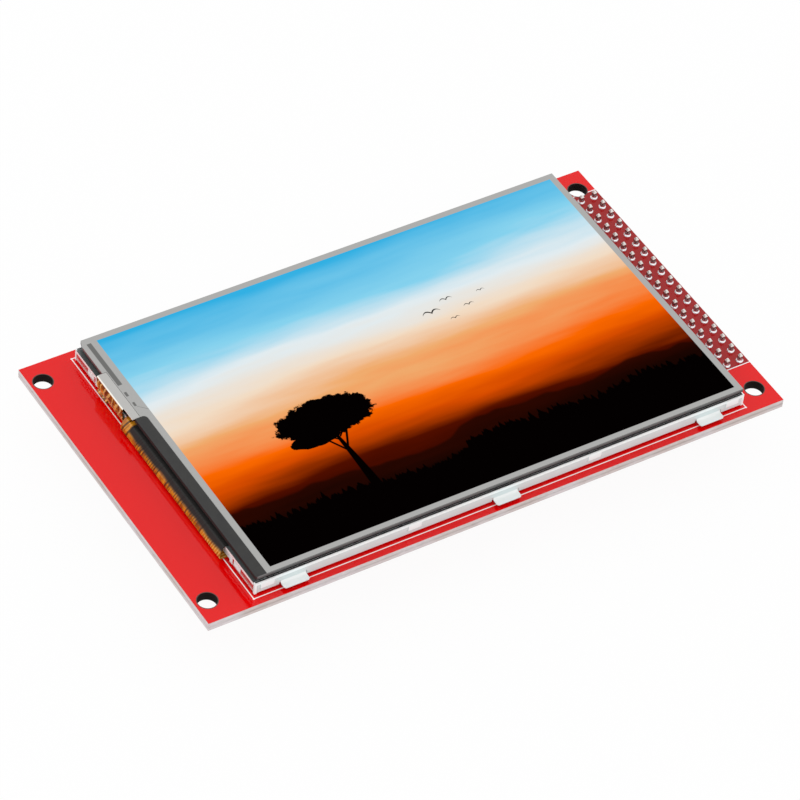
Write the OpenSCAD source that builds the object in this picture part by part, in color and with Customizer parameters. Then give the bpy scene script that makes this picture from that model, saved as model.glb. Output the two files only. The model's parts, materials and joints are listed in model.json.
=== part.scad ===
// TFT display module: a colour display with a resistive touch panel on a red circuit board,
// with a two-row pin header below one end. Millimetres, +Z is the side that shows the picture.
// The origin is the centre of the four mounting holes, on the board's underside.

/* [Board] */
// Length of the circuit board
board_len = 106; // [100:0.5:130]
// Width of the circuit board
board_wid = 60.6; // [60:0.1:80]
// Thickness of the circuit board
board_t = 1.6; // [0.8:0.1:2.4]
// Diameter of a mounting hole
hole_d = 3.2; // [2.2:0.1:3.6]
// Distance between the mounting holes along the board
hole_span_x = 101; // [90:0.5:102]
// Distance between the mounting holes across the board
hole_span_y = 52.3; // [44:0.1:53]
// From the board's left edge to the centre of the nearest mounting holes
hole_from_left = 2.2; // [2:0.1:3]
// From the board's front edge to the centre of the nearest mounting holes
hole_from_front = 4.25; // [3:0.05:5]

/* [Display place] */
// From the board's left edge to the display tray
display_from_left = 9; // [8:0.1:11]
// From the board's front edge to the display tray
display_from_front = 1.85; // [1.6:0.05:6]
// Thickness of the foam tape under the display
tape_t = 0.25; // [0.2:0.05:0.8]
// Width of one strip of foam tape
tape_wid = 7; // [4:0.5:12]

/* [Backlight] */
// Length of the display tray
tray_len = 90.2; // [86:0.1:94]
// Width of the display tray
tray_wid = 56.7; // [54:0.1:58]
// Thickness of the tray's sheet steel
tray_t = 0.15; // [0.1:0.01:0.25]
// Height of the tray's long walls and right wall
tray_wall_h = 1.75; // [1.5:0.05:1.8]
// Outside radius of the bend between the tray's floor and walls
tray_bend_r = 0.25; // [0.2:0.01:0.35]
// Width of the frame's posts in the tray's open corners
post_wid = 0.45; // [0.35:0.05:0.6]
// Width of a lug on the tray
lug_wid = 4.5; // [3:0.1:6]
// How far a lug stands out from the tray
lug_reach = 1.4; // [1.1:0.05:1.6]
// Inside radius of a lug's flare
lug_bend_r = 0.45; // [0.3:0.05:0.7]
// Height of a lug's flat end above the tray's underside
lug_z = 0.35; // [0:0.05:0.5]
// Distance from the tray's middle to its outer lugs
lug_offset = 38.3; // [30:0.1:39]
// Width of a snap on the frame's long sides
snap_wid = 2.5; // [2:0.1:3]
// Thickness of the frame's long sides and right side
frame_wall = 2; // [1.5:0.1:2.5]
// Thickness of the frame's left side
frame_left_wall = 0.7; // [0.5:0.05:0.8]
// Thickness of the reflector
reflector_t = 0.08; // [0.05:0.01:0.12]
// Thickness of the light guide
guide_t = 1; // [0.85:0.05:1]
// Thickness of the diffuser and of each prism film
film_t = 0.1; // [0.06:0.01:0.1]
// Number of lamps along the light guide's left edge
led_count = 8; // [6:1:10]

/* [Display cell] */
// Thickness of each pane of display glass
pane_t = 0.5; // [0.4:0.05:0.6]
// Thickness of each polariser
polariser_t = 0.13; // [0.1:0.01:0.15]
// How far the rear pane reaches past the tray on the left
ledge_reach = 0.1; // [0.05:0.01:0.3]
// Width of the rear pane's bare ledge
ledge_wid = 2.4; // [2.2:0.1:3]

/* [Touch panel] */
// How far the touch panel stays inside the tray on the right
touch_inset_right = 0.4; // [0:0.05:1]
// How far the touch panel stays inside the tray on the left
touch_inset_left = 0.35; // [0.1:0.05:0.5]
// How far the touch panel stays inside the tray on each long side
touch_inset_side = 0.07; // [0:0.01:0.5]
// Thickness of the touch panel's glass
touch_glass_t = 0.5; // [0.4:0.05:1.1]
// Thickness of the touch panel's film
touch_film_t = 0.13; // [0.1:0.01:0.2]
// Thickness of the adhesive ring under the touch panel
touch_ring_t = 0.15; // [0.1:0.01:0.3]
// Margin of the touch panel's window on the left
margin_left = 2.75; // [2.5:0.05:5]
// Margin of the touch panel's window at the front
margin_front = 0.95; // [0.8:0.05:4]
// Margin of the touch panel's window on the right and at the back
margin = 1.1; // [0.8:0.05:4]

/* [Flexible circuits] */
// Thickness of the flexible circuits
flex_t = 0.12; // [0.08:0.01:0.14]
// Width of the display's flexible circuit
flex_wid = 31; // [24:0.5:31.5]
// How far the display's flexible circuit bulges past the tray
flex_bulge = 1.1; // [0.9:0.05:1.4]
// Width of the touch panel's tail where it runs under the tray
tail_wid = 5; // [3.6:0.1:5.2]

/* [Header] */
// Distance between neighbouring pins
pin_pitch = 2.54; // [2:0.01:2.54]
// Pins in each of the two rows
pins_per_row = 18; // [10:1:18]
// From the board's right edge to the outer row of pins
header_from_right = 1.25; // [1.2:0.05:2]
// Offset of the header's middle from the middle of the mounting holes
header_offset_y = 1.9; // [-2:0.1:2.2]
// Width of a square pin
pin_w = 0.64; // [0.5:0.01:0.64]
// How far the pins stand above the board
pin_above = 1.4; // [1:0.1:2]
// How far the pins reach below the header's housing
pin_below = 6; // [3:0.5:9]
// Diameter of the drilled hole round a pin
pin_hole_d = 1; // [0.96:0.02:1.1]

/* [Card socket] */
// From the board's left edge to the mouth of the card socket
socket_from_left = 3; // [0.5:0.1:6]
// Length of the card socket, along the board
socket_len = 28; // [26:0.5:30]
// Width of the card socket
socket_wid = 28.6; // [27.5:0.1:30]
// Height of the card socket
socket_h = 3; // [2.8:0.1:3.6]
// Width of the slot for the card
slot_wid = 24.4; // [24.2:0.1:25]
// Height of the slot for the card
slot_h = 2.2; // [2.15:0.05:2.4]

/* [Hidden] */

eps = 0.01;                  // overreach of a cut
fit = 0.05;                  // clearance between pieces that slip together
round_fn = 48;

// ---- places on the board
board_x0 = -hole_span_x / 2 - hole_from_left;
board_y0 = -hole_span_y / 2 - hole_from_front;
display_x = board_x0 + display_from_left + tray_len / 2;
display_y = board_y0 + display_from_front + tray_wid / 2;
outer_row_x = board_x0 + board_len - header_from_right;
inner_row_x = outer_row_x - pin_pitch;

// ---- heights inside the display, from the tray's underside
reflector_z = tray_t;
guide_z = reflector_z + reflector_t;
diffuser_z = guide_z + guide_t;
lower_prism_z = diffuser_z + film_t;
upper_prism_z = lower_prism_z + film_t;
shield_t = 0.05;
shelf_z = upper_prism_z + film_t + 0.07;
rear_polariser_z = shelf_z + shield_t;
rear_pane_z = rear_polariser_z + polariser_t;
front_pane_z = rear_pane_z + pane_t;
front_polariser_z = front_pane_z + pane_t;
touch_ring_z = front_polariser_z + polariser_t;
touch_glass_z = touch_ring_z + touch_ring_t;
spacer_t = 0.05;
spacer_z = touch_glass_z + touch_glass_t;
touch_film_z = spacer_z + spacer_t;
display_top_z = touch_film_z + touch_film_t;

// ---- outlines inside the display, from the tray's middle
half_len = tray_len / 2;
half_wid = tray_wid / 2;
rim_wall = 0.25;                           // frame's rim beside the rear pane
pane_x0 = -half_len - ledge_reach;
pane_x1 = half_len - tray_t - rim_wall - fit;
pane_wid = tray_wid - 2 * (tray_t + rim_wall + fit);
front_pane_x0 = pane_x0 + ledge_wid;
touch_x1 = half_len - touch_inset_right;
touch_x0 = -half_len + touch_inset_left;
touch_wid = tray_wid - 2 * touch_inset_side;
touch_corner = 0.8;                        // cut corner of the touch panel
window_x1 = touch_x1 - margin;
window_x0 = touch_x0 + margin_left;
window_y0 = -touch_wid / 2 + margin_front;
window_y1 = touch_wid / 2 - margin;
film_x0 = -half_len + tray_t + frame_left_wall + 1.2;   // left edge of light guide and films
film_x1 = half_len - tray_t - frame_wall - fit;
film_wid = tray_wid - 2 * (tray_t + frame_wall + fit);

// ---- openings and snaps of the tray and frame
flex_gap_wid = 41.6;                       // opening in the tray's left wall
flex_gap_in = 1.2;                         // how far it reaches into the floor
snap_offsets = [for (s = [-1, 1]) for (u = [16.6, 42.85]) s * u * tray_len / 90.2];
side_snap_offset = (flex_gap_wid / 2 + half_wid) / 2 - 1.5;
side_snap_wid = 2;
snap_z = 0.85;                             // underside of a snap
side_snap_z = 0.6;
side_post_wid = 0.8;                       // posts beside the opening for the circuits
snap_proud = 0.05;
left_wall_h = rear_pane_z - 0.03;
lug_offsets = [-lug_offset, 0, lug_offset];
lug_slit = 0.2;                            // slit at each side of a lug

// ---- flexible circuits, from the tray's middle
flex_y0 = -19.6;
tail_y0 = 12;
tab_y0 = 9.2;                              // tab of the touch tail on the panel
tab_wid = 11.1;
tab_x1 = touch_x0 + 0.7;
tab_reach = 0.95;
lamp_tongue_y0 = 17.5;
lamp_tongue_wid = 2.9;
under_z = -tape_t / 2;                     // height of the circuits under the tray
solder_wid = 1.2;

// ---- card socket, from its own middle on the board's underside
socket_x = board_x0 + socket_from_left + socket_len / 2;
socket_y = 0;
socket_sheet = 0.2;
rail_wid = (socket_wid - 2 * socket_sheet - slot_wid) / 2;

// =========================================================== shared shapes

// Display pieces: the origin moves to the middle of the tray's underside.
module at_display() {
    translate([display_x, display_y, board_t + tape_t]) children();
}

// Pieces under the board: +Z points away from the board.
module on_underside(x, y, turn = 0) {
    translate([x, y, 0]) mirror([0, 0, 1]) rotate([0, 0, turn]) children();
}

// A sheet between two corners, with its underside at z.
module sheet(x0, x1, wid, z, t) {
    translate([x0, -wid / 2, z]) cube([x1 - x0, wid, t]);
}

// Rectangle with round corners, centred.
module round_rect(l, w, r) {
    square([l - 2 * r, w], center = true);
    square([l, w - 2 * r], center = true);
    for (x = [-1, 1], y = [-1, 1])
        translate([x * (l / 2 - r), y * (w / 2 - r)]) circle(r, $fn = round_fn);
}

// Points on an arc, from angle a0 to a1.
function arc(c, r, a0, a1, n) =
    [for (i = [0:n]) let(a = a0 + (a1 - a0) * i / n) [c[0] + r * cos(a), c[1] + r * sin(a)]];

// Unit normal to a path at point i.
function path_dir(p, i) =
    let(a = p[max(i - 1, 0)], b = p[min(i + 1, len(p) - 1)], d = b - a) d / norm(d);
function path_side(p, i, s) = let(d = path_dir(p, i)) p[i] + s * [-d[1], d[0]];

// A ribbon of thickness t along path p in X and Z, from y0 to y0 + wid.
module ribbon(p, t, y0, wid) {
    near = [for (i = [0:len(p) - 1]) path_side(p, i, t / 2)];
    far = [for (i = [len(p) - 1:-1:0]) path_side(p, i, -t / 2)];
    translate([0, y0 + wid, 0]) rotate([90, 0, 0]) linear_extrude(wid) polygon(concat(near, far));
}

// Moulded body of a chip: it is widest at the middle of its height.
module moulded_body(l, w, h, lift, draft = 0.12) {
    intersection() {
        translate([0, w / 2, lift]) rotate([90, 0, 0]) linear_extrude(w)
            polygon([[-l / 2 + draft, 0], [l / 2 - draft, 0], [l / 2, h / 2], [l / 2 - draft, h],
                [-l / 2 + draft, h], [-l / 2, h / 2]]);
        translate([-l / 2, 0, lift]) rotate([90, 0, 90]) linear_extrude(l)
            polygon([[-w / 2 + draft, 0], [w / 2 - draft, 0], [w / 2, h / 2], [w / 2 - draft, h],
                [-w / 2 + draft, h], [-w / 2, h / 2]]);
    }
}

// One gull-wing lead: it leaves the body at height z and ends on the board at reach.
module gull_lead(reach, z, foot, t, w) {
    shoulder = reach - foot - t;
    translate([0, w / 2, 0]) rotate([90, 0, 0]) linear_extrude(w)
        polygon([[0, z], [shoulder, z], [reach - foot, 0], [reach, 0], [reach, t],
            [reach - foot + t / 2, t], [shoulder + t, z + t], [0, z + t]]);
}

// Leads along both long sides of a chip whose body is l by w.
module gull_rows(l, w, per_side, pitch, reach, z, lead_w) {
    for (s = [0, 180], i = [0:per_side - 1])
        rotate([0, 0, s]) translate([w / 2, (i - (per_side - 1) / 2) * pitch, 0])
            gull_lead(reach, z, 0.5, 0.15, lead_w);
}

// A chip part with a metal cap at each end.
module end_capped(l, w, h, cap) {
    inset = 0.03;
    translate([-l / 2 + inset, -w / 2 + inset, inset]) cube([l - 2 * inset, w - 2 * inset, h - 2 * inset]);
    for (x = [-l / 2, l / 2 - cap]) translate([x, -w / 2, 0]) cube([cap, w, h]);
}

// =========================================================== board and header

module circuit_board() {
    color([0.88, 0.2, 0.18]) difference() {
        translate([board_x0, board_y0, 0]) cube([board_len, board_wid, board_t]);
        for (x = [-1, 1], y = [-1, 1])
            translate([x * hole_span_x / 2, y * hole_span_y / 2, -eps])
                cylinder(d = hole_d, h = board_t + 2 * eps, $fn = round_fn);
        each_pin() translate([0, 0, -eps]) cylinder(d = pin_hole_d, h = board_t + 2 * eps, $fn = 24);
    }
}

// Children at every pin of the header.
module each_pin() {
    for (x = [inner_row_x, outer_row_x], i = [0:pins_per_row - 1])
        translate([x, header_offset_y + (i - (pins_per_row - 1) / 2) * pin_pitch, 0]) children();
}

// Housing of the header: eight-sided cells in a row, so there is a notch between neighbours.
housing_h = pin_pitch;
cell_cut = pin_pitch * 0.2;

module header_housing() {
    c = pin_pitch / 2;
    k = c - cell_cut;
    core = 2 * c - cell_cut;
    color([0.08, 0.08, 0.08]) difference() {
        translate([(inner_row_x + outer_row_x) / 2, header_offset_y, -housing_h])
            linear_extrude(housing_h) {
                square([2 * core, pins_per_row * pin_pitch], center = true);
                for (i = [0:pins_per_row - 1]) translate([0, (i - (pins_per_row - 1) / 2) * pin_pitch])
                    polygon([[-2 * c, -k], [-core, -c], [core, -c], [2 * c, -k],
                        [2 * c, k], [core, c], [-core, c], [-2 * c, k]]);
            }
        each_pin() translate([-pin_w / 2, -pin_w / 2, -housing_h - eps])
            cube([pin_w, pin_w, housing_h + 2 * eps]);
    }
}

// A square pin with a tapered point at both ends.
module header_pins() {
    top = board_t + pin_above;
    bottom = -housing_h - pin_below;
    taper = 0.35;
    tip = pin_w / 2 * 0.45;
    side = [[-pin_w / 2, bottom + taper], [-tip, bottom], [tip, bottom], [pin_w / 2, bottom + taper],
        [pin_w / 2, top - taper], [tip, top], [-tip, top], [-pin_w / 2, top - taper]];
    color([0.85, 0.8, 0.62]) each_pin() intersection() {
        translate([0, pin_w / 2, 0]) rotate([90, 0, 0]) linear_extrude(pin_w) polygon(side);
        translate([-pin_w / 2, 0, 0]) rotate([90, 0, 90]) linear_extrude(pin_w) polygon(side);
    }
}

// Solder at every pin: it fills the drilled hole and climbs the pin in a hollow cone.
module header_solder() {
    pad_r = 0.65;
    rise = 0.8;
    neck_r = pin_w * 0.58;
    color([0.8, 0.8, 0.82]) each_pin() difference() {
        rotate_extrude($fn = 24)
            polygon([[0, 0], [pin_hole_d / 2, 0], [pin_hole_d / 2, board_t], [pad_r, board_t],
                [pad_r * 0.93, board_t + rise * 0.12], [pad_r * 0.72, board_t + rise * 0.3],
                [neck_r + 0.06, board_t + rise * 0.62], [neck_r, board_t + rise], [0, board_t + rise]]);
        translate([-pin_w / 2, -pin_w / 2, -eps]) cube([pin_w, pin_w, board_t + rise + 2 * eps]);
    }
}

// =========================================================== backlight

// Strips of foam tape across the board under the display.
module foam_tape() {
    color([0.93, 0.93, 0.9]) for (x = [-0.36, 0, 0.36])
        translate([display_x + x * tray_len - tape_wid / 2, display_y - pane_wid / 2 + 2, board_t])
            cube([tape_wid, pane_wid - 4, tape_t]);
}

// Section through the tray's floor, bend and wall; x runs outwards and ends at x1.
module pan_section(x1, h) {
    r = tray_bend_r;
    c = [x1 - r, r];
    polygon(concat([[0, 0]], arc(c, r, -90, 0, 8), [[x1, h], [x1 - tray_t, h]],
        arc(c, r - tray_t, 0, -90, 8), [[0, tray_t]]));
}

// A wall of the tray with its bend and a strip of floor; it faces +X and is len long.
module folded_wall(out, len, h) {
    strip = tray_bend_r + 0.5;
    translate([out - strip, len / 2, 0]) rotate([90, 0, 0]) linear_extrude(len) pan_section(strip, h);
}

// Folded pan with open corners: a flat floor and four walls.
module folded_pan() {
    long = tray_len - 2 * post_wid;
    short = tray_wid - 2 * post_wid;
    inset = tray_bend_r + 0.2;
    translate([-half_len + inset, -half_wid + inset, 0])
        cube([tray_len - 2 * inset, tray_wid - 2 * inset, tray_t]);
    for (a = [90, 270]) rotate([0, 0, a]) folded_wall(half_wid, long, tray_wall_h);
    folded_wall(half_len, short, tray_wall_h);
    rotate([0, 0, 180]) folded_wall(half_len, short, left_wall_h);
}

// A lug: a tongue of the long wall that flares outwards and ends flat, with round corners.
module lug() {
    r = lug_bend_r;
    zc = lug_z + tray_t + r;
    end_r = 0.4;
    curve = concat(arc([-r, zc], r, 0, -90, 10), [[-lug_reach, lug_z + tray_t], [-lug_reach, lug_z]],
        arc([-r, zc], r + tray_t, -90, 0, 10));
    intersection() {
        translate([-lug_wid / 2, 0, 0]) rotate([90, 0, 90]) linear_extrude(lug_wid) polygon(curve);
        translate([0, -lug_reach + 10, -1]) linear_extrude(zc + 2) round_rect(lug_wid, 20, end_r);
    }
}

// Folded steel tray with lugs, notches for the frame's snaps and an opening for the circuits.
module backlight_tray() {
    cut_h = 5;
    zc = lug_z + tray_t + lug_bend_r;
    slot_wid = lug_wid + 2 * lug_slit;
    gap_wid = flex_gap_wid + 2 * (side_post_wid + fit);
    relief_r = 0.12;
    color([0.8, 0.8, 0.79]) at_display() {
        difference() {
            folded_pan();
            // notches for the snaps, with a round relief at their lower corners
            for (y = [-1, 1], u = snap_offsets) {
                translate([u - snap_wid / 2, y * half_wid - 0.5, snap_z]) cube([snap_wid, 1, cut_h]);
                for (s = [-1, 1]) translate([u + s * snap_wid / 2, y * half_wid, snap_z + relief_r])
                    rotate([90, 0, 0]) cylinder(r = relief_r, h = 1, center = true, $fn = 16);
            }
            for (s = [-1, 1])
                translate([-half_len - 0.5, s * side_snap_offset - side_snap_wid / 2, side_snap_z])
                    cube([1, side_snap_wid, cut_h]);
            // opening for the flexible circuits
            translate([-half_len - 1, -gap_wid / 2, -eps]) cube([1 + flex_gap_in, gap_wid, cut_h]);
            // wall and floor edge cut free round each lug
            for (y = [-1, 1], u = lug_offsets)
                translate([u - slot_wid / 2, y * half_wid - 0.5, -eps]) cube([slot_wid, 1, zc + eps]);
        }
        for (y = [0, 180], u = lug_offsets) rotate([0, 0, y]) translate([u, -half_wid, 0]) lug();
    }
}

// A block centred on the display, between two heights.
module block(l, w, z0, z1) {
    translate([-l / 2, -w / 2, z0]) cube([l, w, z1 - z0]);
}

// White moulded frame: a shelf for the display cell, a rim round it, snaps in the tray's notches
// and posts in its open corners.
module backlight_frame() {
    out_l = tray_len - 2 * tray_t - 2 * fit;
    out_w = tray_wid - 2 * tray_t - 2 * fit;
    rim_z0 = tray_wall_h + 0.02;
    rim_z1 = front_pane_z;
    pocket_x0 = -half_len + tray_t + fit + frame_left_wall;
    post = post_wid - fit;
    post_z = tray_t + fit;
    gap_side = flex_gap_wid / 2;
    color([0.96, 0.96, 0.95]) at_display() difference() {
        union() {
            // rails round the light guide, and the rim over the tray's walls
            block(out_l, out_w, tray_bend_r, rim_z0 + eps);
            block(out_l - 2 * tray_bend_r, out_w - 2 * tray_bend_r, tray_t, tray_bend_r + eps);
            block(tray_len, tray_wid, rim_z0, rim_z1);
            // corner posts
            for (x = [-half_len, half_len - post], y = [-half_wid, half_wid - post])
                translate([x, y, 0]) cube([post, post, rim_z1]);
            // posts beside the opening for the circuits
            for (y = [-gap_side - side_post_wid, gap_side])
                translate([-half_len, y, post_z])
                    cube([frame_left_wall, side_post_wid, shelf_z - post_z]);
            // snaps
            for (y = [-1, 1], u = snap_offsets)
                translate([u - snap_wid / 2 + fit, y > 0 ? 0 : -half_wid - snap_proud, snap_z + fit])
                    cube([snap_wid - 2 * fit, half_wid + snap_proud, rim_z1 - snap_z - fit]);
            for (s = [-1, 1])
                translate([-half_len - snap_proud, s * side_snap_offset - side_snap_wid / 2 + fit,
                    side_snap_z + fit])
                    cube([2, side_snap_wid - 2 * fit, shelf_z - side_snap_z - fit]);
        }
        // pocket for the light guide, films and lamps
        translate([pocket_x0, -film_wid / 2 - fit, 0])
            cube([film_x1 + fit - pocket_x0, film_wid + 2 * fit, shelf_z + 1]);
        // room for the display cell
        translate([-half_len - 1, -pane_wid / 2 - fit, shelf_z])
            cube([pane_x1 + fit + half_len + 1, pane_wid + 2 * fit, 3]);
        // way out for the lamps' circuit
        translate([-half_len - 1, lamp_tongue_y0 - 0.3, -eps])
            cube([2.5, lamp_tongue_wid + 0.6, 0.6]);
    }
}

module reflector() {
    color([0.98, 0.98, 0.98]) at_display()
        sheet(film_x0, film_x1, film_wid, reflector_z, reflector_t);
}

module light_guide() {
    color([0.9, 0.95, 0.95]) at_display() sheet(film_x0, film_x1, film_wid, guide_z, guide_t);
}

module diffuser() {
    color([0.97, 0.97, 0.96]) at_display() sheet(film_x0, film_x1, film_wid, diffuser_z, film_t);
}

module lower_prism_film() {
    color([0.85, 0.88, 0.9]) at_display() sheet(film_x0, film_x1, film_wid, lower_prism_z, film_t);
}

module upper_prism_film() {
    color([0.83, 0.86, 0.9]) at_display() sheet(film_x0, film_x1, film_wid, upper_prism_z, film_t);
}

// Black tape ring that keeps stray light from the edge of the picture.
module light_shield() {
    in_x1 = film_x1 - 0.6;
    in_wid = film_wid - 1.2;
    color([0.07, 0.07, 0.07]) at_display() difference() {
        sheet(front_pane_x0, pane_x1, pane_wid, shelf_z, shield_t);
        sheet(film_x0 + 0.9, in_x1, in_wid, shelf_z - eps, shield_t + 2 * eps);
    }
}

// Lamps in a row against the light guide's left edge.
lamp_len = 3;
lamp_deep = 0.75;
lamp_h = 0.6;
lamp_x0 = film_x0 - 0.1 - lamp_deep;
lamp_pitch = (film_wid - 6) / (led_count - 1);

module lamps() {
    color([0.97, 0.96, 0.85]) at_display() for (i = [0:led_count - 1])
        translate([lamp_x0, (i - (led_count - 1) / 2) * lamp_pitch - lamp_len / 2, guide_z])
            cube([lamp_deep, lamp_len, lamp_h]);
}

// Strip under the lamps, with a tongue that leaves the frame and turns down to the board.
module lamp_flex() {
    z = tray_t + reflector_t / 2;
    lift = 0.25;
    fold_r = (z + lift - under_z) / 2;
    out_x = -half_len - 0.05;
    color([0.85, 0.58, 0.2]) at_display() {
        sheet(lamp_x0 - 0.05, film_x0 - 0.05, film_wid - 1, tray_t, reflector_t);
        ribbon(concat([[lamp_x0, z], [out_x, z + lift]],
            arc([out_x, under_z + fold_r], fold_r, 100, 270, 14), [[film_x0, under_z]]),
            reflector_t, lamp_tongue_y0, lamp_tongue_wid);
    }
}

// =========================================================== display cell

module rear_polariser() {
    color([0.25, 0.27, 0.28]) at_display()
        sheet(front_pane_x0, pane_x1, pane_wid - 0.6, rear_polariser_z, polariser_t);
}

module rear_pane() {
    color([0.7, 0.76, 0.76]) at_display() sheet(pane_x0, pane_x1, pane_wid, rear_pane_z, pane_t);
}

module front_pane() {
    color([0.3, 0.33, 0.33]) at_display() sheet(front_pane_x0, pane_x1, pane_wid, front_pane_z, pane_t);
}

module front_polariser() {
    color([0.12, 0.12, 0.13]) at_display()
        sheet(front_pane_x0 + 0.4, pane_x1 - 0.3, pane_wid - 0.6, front_polariser_z, polariser_t);
}

// Bare driver chip on the rear pane's ledge.
driver_wid = 1;
driver_len = 20;
driver_x0 = front_pane_x0 - 0.25 - driver_wid;

module driver_chip() {
    color([0.2, 0.2, 0.22]) at_display()
        translate([driver_x0, flex_y0 + (flex_wid - driver_len) / 2, front_pane_z])
            cube([driver_wid, driver_len, 0.3]);
}

// The display's flexible circuit leaves the ledge, bulges past the tray and runs back under it.
flex_end_x = -half_len + 3;

module display_flex() {
    top = front_pane_z + flex_t / 2;
    over_r = 0.36;
    over_x = pane_x0 - 0.06;
    low_r = 0.5;
    out_x = -half_len - flex_bulge;
    path = concat([[driver_x0 - 0.15, top]], arc([over_x, top - over_r], over_r, 90, 150, 8),
        [[out_x + 0.1, 1.2], [out_x, 0.62]],
        arc([out_x + low_r, under_z + low_r], low_r, 186, 270, 8), [[flex_end_x, under_z]]);
    color([0.85, 0.58, 0.2]) at_display() ribbon(path, flex_t, flex_y0, flex_wid);
}

// Solder between the circuits' ends and the board.
module flex_solder() {
    z0 = -tape_t;
    color([0.8, 0.8, 0.82]) at_display() {
        translate([flex_end_x - solder_wid, flex_y0 + 1, z0])
            cube([solder_wid, flex_wid - 2, under_z - flex_t / 2 - z0]);
        translate([flex_end_x - solder_wid, tail_y0 + 1, z0])
            cube([solder_wid, tail_wid - 2, under_z - flex_t / 2 - z0]);
        translate([film_x0 - solder_wid, lamp_tongue_y0 + 0.2, z0])
            cube([solder_wid, lamp_tongue_wid - 0.4, under_z - reflector_t / 2 - z0]);
    }
}

// =========================================================== touch panel

// Outline of the touch panel, with its back left corner cut off.
module touch_outline() {
    w = touch_wid / 2;
    polygon([[touch_x0, -w], [touch_x1, -w], [touch_x1, w], [touch_x0 + touch_corner * 0.6, w],
        [touch_x0, w - touch_corner * 2]]);
}

// Window through which the picture shows.
module window_outline() {
    translate([window_x0, window_y0]) square([window_x1 - window_x0, window_y1 - window_y0]);
}

module tab_notch() {
    translate([touch_x0 - 1, tab_y0]) square([tab_x1 - touch_x0 + 1, tab_wid]);
}

module touch_ring() {
    ring = 1.6;
    x0 = front_pane_x0 + 0.4;
    x1 = pane_x1 - 0.3;
    wid = pane_wid - 0.6;
    color([0.1, 0.1, 0.1]) at_display() difference() {
        sheet(x0, x1, wid, touch_ring_z, touch_ring_t);
        sheet(x0 + ring, x1 - ring, wid - 2 * ring, touch_ring_z - eps, touch_ring_t + 2 * eps);
    }
}

module touch_glass() {
    color([0.36, 0.38, 0.38]) at_display() translate([0, 0, touch_glass_z])
        linear_extrude(touch_glass_t) touch_outline();
}

module touch_spacer() {
    color([0.6, 0.6, 0.6]) at_display() translate([0, 0, spacer_z])
        linear_extrude(spacer_t) difference() {
            touch_outline();
            window_outline();
        }
}

module touch_film() {
    color([0.66, 0.66, 0.66]) at_display() translate([0, 0, touch_film_z])
        linear_extrude(touch_film_t) difference() {
            touch_outline();
            tab_notch();
        }
}

// The touch panel's tail: a tab in the film's notch, then a strip that turns down and narrows.
module touch_tail() {
    z = touch_film_z + flex_t / 2;
    bend_r = 0.22;
    edge_x = touch_x0 - tab_reach;
    far_y = tab_y0 + tab_wid;
    low_y = tail_y0 + tail_wid;
    path = concat([[tab_x1 - 0.5, z]], arc([edge_x + bend_r, z - bend_r], bend_r, 90, 180, 6),
        [[edge_x, 2.1], [edge_x + 0.25, 0.95]],
        arc([-half_len + 0.35, under_z + 0.4], 0.4, 200, 270, 6), [[flex_end_x, under_z]]);
    color([0.78, 0.62, 0.38]) at_display() {
        translate([edge_x + bend_r, tab_y0 + fit, touch_film_z])
            cube([tab_x1 - fit - edge_x - bend_r, tab_wid - 2 * fit, flex_t]);
        difference() {
            ribbon(path, flex_t, tail_y0, far_y - fit - tail_y0);
            // shoulder above the lamps' tongue
            translate([edge_x - 1, 0, 0]) rotate([90, 0, 90]) linear_extrude(half_len)
                polygon([[low_y, -2], [low_y, 0.7], [far_y + 1, 1.2], [far_y + 1, -2]]);
        }
    }
}

// Black tape over the panel's left margin, folded down over its edge, with one round corner.
ledge_tape_t = 0.06;

module ledge_tape() {
    x0 = touch_x0 - 0.3;
    x1 = window_x0 - 1.14;
    y0 = -touch_wid / 2;
    drop = 0.6;
    end_r = 0.7;
    color([0.22, 0.22, 0.21]) at_display() {
        translate([0, 0, display_top_z]) linear_extrude(ledge_tape_t)
            polygon(concat([[x0, tab_y0], [x0, y0], [x1, y0]], arc([x1 - end_r, tab_y0 - end_r], end_r, 0, 90, 8)));
        translate([x0, y0, display_top_z - drop]) cube([ledge_tape_t, tab_y0 - y0, drop + eps]);
    }
}

// =========================================================== card socket

// Moulded base: a floor against the board with a rail at each side and a wall at the back.
module socket_base() {
    floor_t = socket_h - socket_sheet - slot_h;
    inner_wid = socket_wid - 2 * socket_sheet;
    color([0.1, 0.1, 0.1]) on_underside(socket_x, socket_y) difference() {
        union() {
            translate([-socket_len / 2 + 1.2, -inner_wid / 2, 0]) cube([socket_len - 1.2, inner_wid, floor_t]);
            for (y = [-inner_wid / 2, inner_wid / 2 - rail_wid])
                translate([-socket_len / 2, y, 0]) cube([socket_len, rail_wid, socket_h - socket_sheet]);
            translate([socket_len / 2 - 2, -inner_wid / 2, 0]) cube([2, inner_wid, socket_h - socket_sheet]);
        }
        // channels for the contacts
        for (i = [0:8])
            translate([-socket_len / 2, (i - 4) * 2.5 - 0.6, floor_t - 0.3]) cube([socket_len - 6, 1.2, 1]);
    }
}

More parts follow.
